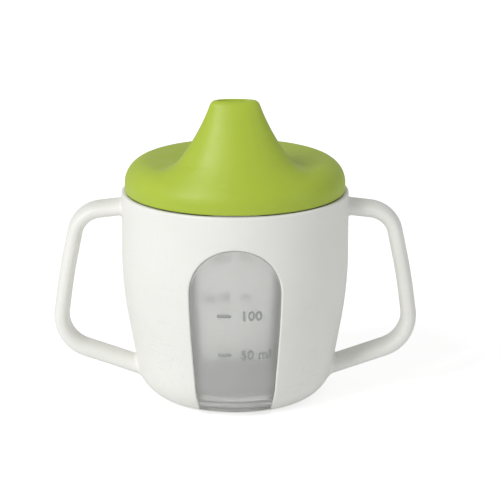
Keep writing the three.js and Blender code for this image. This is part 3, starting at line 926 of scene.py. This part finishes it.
class Nodes:
    """Short names for the shader nodes that the plastics share."""

    def __init__(self, name):
        self.material = bpy.data.materials.new(name)
        self.material.use_nodes = True
        self.tree = self.material.node_tree
        self.shader = self.tree.nodes["Principled BSDF"]
        self.place = self.add("ShaderNodeTexCoord").outputs["Object"]

    def add(self, kind, **settings):
        node = self.tree.nodes.new(kind)
        for key, value in settings.items():
            setattr(node, key, value)
        return node

    def link(self, source, target):
        self.tree.links.new(source, target)

    def noise(self, scale, detail=3.0, roughness=0.5, stretch=None):
        node = self.add("ShaderNodeTexNoise")
        node.inputs["Scale"].default_value = scale
        node.inputs["Detail"].default_value = detail
        node.inputs["Roughness"].default_value = roughness
        source = self.place
        if stretch:
            mapping = self.add("ShaderNodeMapping")
            mapping.inputs["Scale"].default_value = stretch
            self.link(self.place, mapping.inputs["Vector"])
            source = mapping.outputs["Vector"]
        self.link(source, node.inputs["Vector"])
        return node.outputs["Fac"]

    def spread(self, value, low, high, from_low=0.3, from_high=0.7):
        """Maps a texture's middle range to low..high."""
        node = self.add("ShaderNodeMapRange")
        node.inputs["From Min"].default_value = from_low
        node.inputs["From Max"].default_value = from_high
        node.inputs["To Min"].default_value = low
        node.inputs["To Max"].default_value = high
        self.link(value, node.inputs["Value"])
        return node.outputs["Result"]

    def mix_colour(self, factor, a, b):
        node = self.add("ShaderNodeMix", data_type="RGBA")
        self.link(factor, node.inputs["Factor"])
        for index, value in zip(MIX_COLOURS, (a, b)):
            socket = node.inputs[index]
            if isinstance(value, tuple):
                socket.default_value = (*value, 1)
            else:
                self.link(value, socket)
        return node.outputs[MIXED_COLOUR]

    def math(self, operation, a, b):
        node = self.add("ShaderNodeMath", operation=operation)
        for socket, value in zip(node.inputs, (a, b)):
            if isinstance(value, (int, float)):
                socket.default_value = value
            else:
                self.link(value, socket)
        return node.outputs["Value"]

    def bump(self, height, strength, distance):
        node = self.add("ShaderNodeBump")
        node.inputs["Strength"].default_value = strength
        node.inputs["Distance"].default_value = distance
        self.link(height, node.inputs["Height"])
        self.link(node.outputs["Normal"], self.shader.inputs["Normal"])

    def wear(self):
        """0 where the surface is as new, up to 1 on fine scratches and rubbed edges.

        The scratches come in patches, and they are stronger towards the foot.
        """
        scratches = self.spread(self.noise(1500, detail=2, stretch=(1, 1, 0.07)), 0, 1, 0.60, 0.66)
        crossing = self.spread(self.noise(1300, detail=2, stretch=(0.08, 0.08, 1)), 0, 1, 0.61, 0.67)
        both = self.math("MAXIMUM", scratches, crossing)
        patches = self.spread(self.noise(55, detail=3), 0, 1, 0.42, 0.66)
        height = self.add("ShaderNodeSeparateXYZ")
        self.link(self.place, height.inputs["Vector"])
        below = self.spread(height.outputs["Z"], 1.0, 0.5, 0.005, 0.05)
        marks = self.math("MULTIPLY", self.math("MULTIPLY", both, patches), below)
        edges = self.add("ShaderNodeNewGeometry").outputs["Pointiness"]
        rubbed = self.math("MULTIPLY", self.spread(edges, 0, 0.6, 0.54, 0.62), self.noise(320, detail=3))
        return self.math("MAXIMUM", marks, rubbed)

    def finish(self, colour, worn_colour, roughness, wear, worn_roughness):
        """Links colour and roughness, each shifted where the surface is worn."""
        tint = self.mix_colour(self.math("MULTIPLY", wear, 0.5), colour, worn_colour)
        self.link(tint, self.shader.inputs["Base Color"])
        rougher = self.math("ADD", roughness, self.math("MULTIPLY", wear, worn_roughness))
        self.link(rougher, self.shader.inputs["Roughness"])

    def set(self, **values):
        """Sets the shader's own sockets to constants."""
        for key, value in values.items():
            self.shader.inputs[key.replace("_", " ")].default_value = value


def moulded_plastic(name, colour, darker, roughness, subsurface):
    """Satin moulded plastic: faint flow clouding, fine grain and slightly uneven gloss."""
    nodes = Nodes(name)
    clouds = nodes.noise(45, detail=4)
    tint = nodes.mix_colour(nodes.spread(clouds, 0, 1), darker, colour)
    smears = nodes.noise(130, detail=5, stretch=(1, 1, 0.35))
    gloss = nodes.spread(smears, roughness - 0.04, roughness + 0.06)
    wear = nodes.wear()
    worn = tuple(0.9 * value for value in darker)
    nodes.finish(tint, worn, gloss, wear, 0.16)
    waviness = nodes.math("SUBTRACT", nodes.noise(95, detail=2), nodes.math("MULTIPLY", wear, 0.3))
    height = nodes.math("ADD", nodes.math("MULTIPLY", nodes.noise(2600, detail=2), 0.25), waviness)
    nodes.bump(height, 0.12, 0.0002)
    nodes.set(IOR=1.49, Specular_IOR_Level=0.5, Subsurface_Weight=subsurface)
    nodes.set(Subsurface_Radius=(0.004, 0.004, 0.0035), Subsurface_Scale=1.0)
    return nodes.material


def translucent_plastic(name):
    """Natural polypropylene: light passes, softened by a milky haze."""
    nodes = Nodes(name)
    clouds = nodes.noise(60, detail=4)
    tint = nodes.mix_colour(nodes.spread(clouds, 0, 1), (0.90, 0.905, 0.885), (0.93, 0.935, 0.915))
    haze = nodes.spread(nodes.noise(240, detail=4), 0.10, 0.16)
    wear = nodes.wear()
    nodes.finish(tint, (0.82, 0.825, 0.81), haze, wear, 0.12)
    grain = nodes.math("SUBTRACT", nodes.noise(1500, detail=2), nodes.math("MULTIPLY", wear, 0.4))
    nodes.bump(grain, 0.03, 0.00005)
    nodes.set(IOR=1.49, Transmission_Weight=0.75)
    return nodes.material


def raised_mark_plastic(name):
    """The same plastic where a raised mark was etched matt, so that it reads grey."""
    nodes = Nodes(name)
    clouds = nodes.noise(300, detail=4)
    tint = nodes.mix_colour(nodes.spread(clouds, 0, 1), (0.47, 0.48, 0.47), (0.52, 0.53, 0.52))
    nodes.finish(tint, (0.56, 0.57, 0.56), nodes.spread(nodes.noise(900), 0.5, 0.62), nodes.wear(), 0.1)
    nodes.bump(nodes.noise(1800), 0.1, 0.0001)
    nodes.set(IOR=1.49, Transmission_Weight=0.35)
    return nodes.material


def silicone(name):
    """Soft matt silicone, slightly see-through."""
    nodes = Nodes(name)
    clouds = nodes.noise(80, detail=4)
    tint = nodes.mix_colour(nodes.spread(clouds, 0, 1), (0.72, 0.72, 0.70), (0.80, 0.80, 0.78))
    nodes.finish(tint, (0.66, 0.66, 0.63), nodes.spread(nodes.noise(400), 0.5, 0.65), nodes.wear(), 0.15)
    nodes.bump(nodes.noise(1800), 0.15, 0.0002)
    nodes.set(IOR=1.42, Subsurface_Weight=0.3)
    nodes.set(Subsurface_Radius=(0.003, 0.003, 0.003), Subsurface_Scale=1.0)
    return nodes.material


# ------------------------------ stage, light, camera

FLOOR_Z = -0.05                     # just under the foot ring, so that the two faces don't fight
FLOOR_HALF = 4000.0
FLOOR_GLOW = (0.50, 0.30, 0.1)      # as seen directly, as seen through the cup, and in all light
SURROUNDINGS = 0.46                 # brightness of the studio as it lights matt surfaces
# Lights: power in watts, then distance, width and height in metres, then azimuth from the front
# towards +X and elevation in degrees
KEY = (40.0, 2.6, 1.0, 1.6, -47, 34)
FILL = (3.5, 2.2, 0.8, 1.4, 68, 12)
CAMERA_ELEVATION = math.radians(15.95)
CAMERA_DISTANCE_M = 1.0
VIEW_WIDTH_M = 0.175                 # width of the view at the beaker
AIM_OFFSET_M = (0.0052, 0.01456)     # how far right of and above the beaker's middle it aims


def make_floor():
    """A pale floor. It looks white, but lights the beaker only as much as matt white card does."""
    nodes = Nodes("pale_floor")
    clouds = nodes.noise(3, detail=2)
    tint = nodes.mix_colour(nodes.spread(clouds, 0, 1), (0.79, 0.79, 0.79), (0.81, 0.81, 0.81))
    nodes.link(tint, nodes.shader.inputs["Base Color"])
    nodes.set(Roughness=0.9, Specular_IOR_Level=0.1, Emission_Color=(1, 1, 1, 1))
    rays = nodes.add("ShaderNodeLightPath")
    seen = nodes.math("MULTIPLY", rays.outputs["Is Camera Ray"], FLOOR_GLOW[0])
    seen_through = nodes.math("MULTIPLY", rays.outputs["Is Transmission Ray"], FLOOR_GLOW[1])
    glow = nodes.math("ADD", nodes.math("ADD", seen, seen_through), FLOOR_GLOW[2])
    nodes.link(glow, nodes.shader.inputs["Emission Strength"])
    mesh = bpy.data.meshes.new("floor")
    corners = [(-1, -1), (1, -1), (1, 1), (-1, 1)]
    points = [(x * FLOOR_HALF * MM, y * FLOOR_HALF * MM, FLOOR_Z * MM) for x, y in corners]
    mesh.from_pydata(points, [], [(0, 1, 2, 3)])
    mesh.materials.append(nodes.material)
    floor = bpy.data.objects.new("floor", mesh)
    bpy.context.scene.collection.objects.link(floor)


def soft_light(name, power, distance, width, height, azimuth, elevation):
    """A rectangular soft box that faces the beaker's middle."""
    data = bpy.data.lights.new(name, "AREA")
    data.shape = "RECTANGLE"
    data.size = width
    data.size_y = height
    data.energy = power
    lamp = bpy.data.objects.new(name, data)
    level = math.cos(math.radians(elevation))
    way = Vector((math.sin(math.radians(azimuth)) * level, -math.cos(math.radians(azimuth)) * level,
                  math.sin(math.radians(elevation))))
    lamp.location = way * distance + Vector((0, 0, 0.05))
    lamp.rotation_mode = "QUATERNION"
    lamp.rotation_quaternion = way.to_track_quat("Z", "Y")
    bpy.context.scene.collection.objects.link(lamp)


def make_lights():
    """White surroundings, a large soft key light on the left in front and a weak fill."""
    scene = bpy.context.scene
    scene.view_settings.view_transform = "Standard"
    scene.view_settings.look = "None"
    world = bpy.data.worlds.new("studio")
    scene.world = world
    world.use_nodes = True
    tree = world.node_tree
    background = tree.nodes["Background"]
    background.inputs["Color"].default_value = (1, 1, 1, 1)
    rays = tree.nodes.new("ShaderNodeLightPath")
    seen = tree.nodes.new("ShaderNodeMath")
    seen.operation = "MAXIMUM"
    tree.links.new(rays.outputs["Is Camera Ray"], seen.inputs[0])
    tree.links.new(rays.outputs["Is Transmission Ray"], seen.inputs[1])
    strength = tree.nodes.new("ShaderNodeMapRange")
    strength.inputs["To Min"].default_value = SURROUNDINGS
    strength.inputs["To Max"].default_value = 1.0
    tree.links.new(seen.outputs["Value"], strength.inputs["Value"])
    tree.links.new(strength.outputs["Result"], background.inputs["Strength"])
    soft_light("key", *KEY)
    soft_light("fill", *FILL)


def make_camera():
    data = bpy.data.cameras.new("camera")
    data.sensor_width = 36
    data.lens = 36 * CAMERA_DISTANCE_M / VIEW_WIDTH_M
    camera = bpy.data.objects.new("camera", data)
    middle = Vector((0, 0, RIM_Z / 2 * MM))
    back = Vector((0, -math.cos(CAMERA_ELEVATION), math.sin(CAMERA_ELEVATION)))
    up = Vector((0, math.sin(CAMERA_ELEVATION), math.cos(CAMERA_ELEVATION)))
    camera.location = middle + back * CAMERA_DISTANCE_M
    aim = middle + Vector((AIM_OFFSET_M[0], 0, 0)) + up * AIM_OFFSET_M[1]
    camera.rotation_mode = "QUATERNION"
    camera.rotation_quaternion = (camera.location - aim).to_track_quat("Z", "Y")
    data.clip_start = 0.01
    data.clip_end = 100
    bpy.context.scene.collection.objects.link(camera)
    bpy.context.scene.camera = camera


# ------------------------------ the beaker


def main():
    make_camera()
    make_floor()
    make_lights()
    white = moulded_plastic("white_plastic", (0.87, 0.87, 0.83), (0.84, 0.84, 0.798), 0.42, 0.1)
    green = moulded_plastic("green_plastic", (0.425, 0.545, 0.044), (0.40, 0.52, 0.038), 0.44, 0.06)
    clear = translucent_plastic("translucent_plastic")
    pieces = [
        (make_jacket(white), "beaker", "white_shell", "outer_shell"),
        (make_handle("handle_loop_left", -1, white), "beaker", "white_shell", "handle_left"),
        (make_handle("handle_loop_right", 1, white), "beaker", "white_shell", "handle_right"),
        (make_cup(clear), "beaker", "clear_cup", "inner_cup"),
        (make_graduations(raised_mark_plastic("raised_marks")), "beaker", "clear_cup", None),
        (make_seal(silicone("silicone")), "seal", "seal_silicone", "lid_seal"),
        (make_lid(green), "lid", "green_lid", "lid"),
    ]
    for piece, body, slot, node in pieces:
        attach(piece, body)
        if node:
            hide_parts(node)


main()
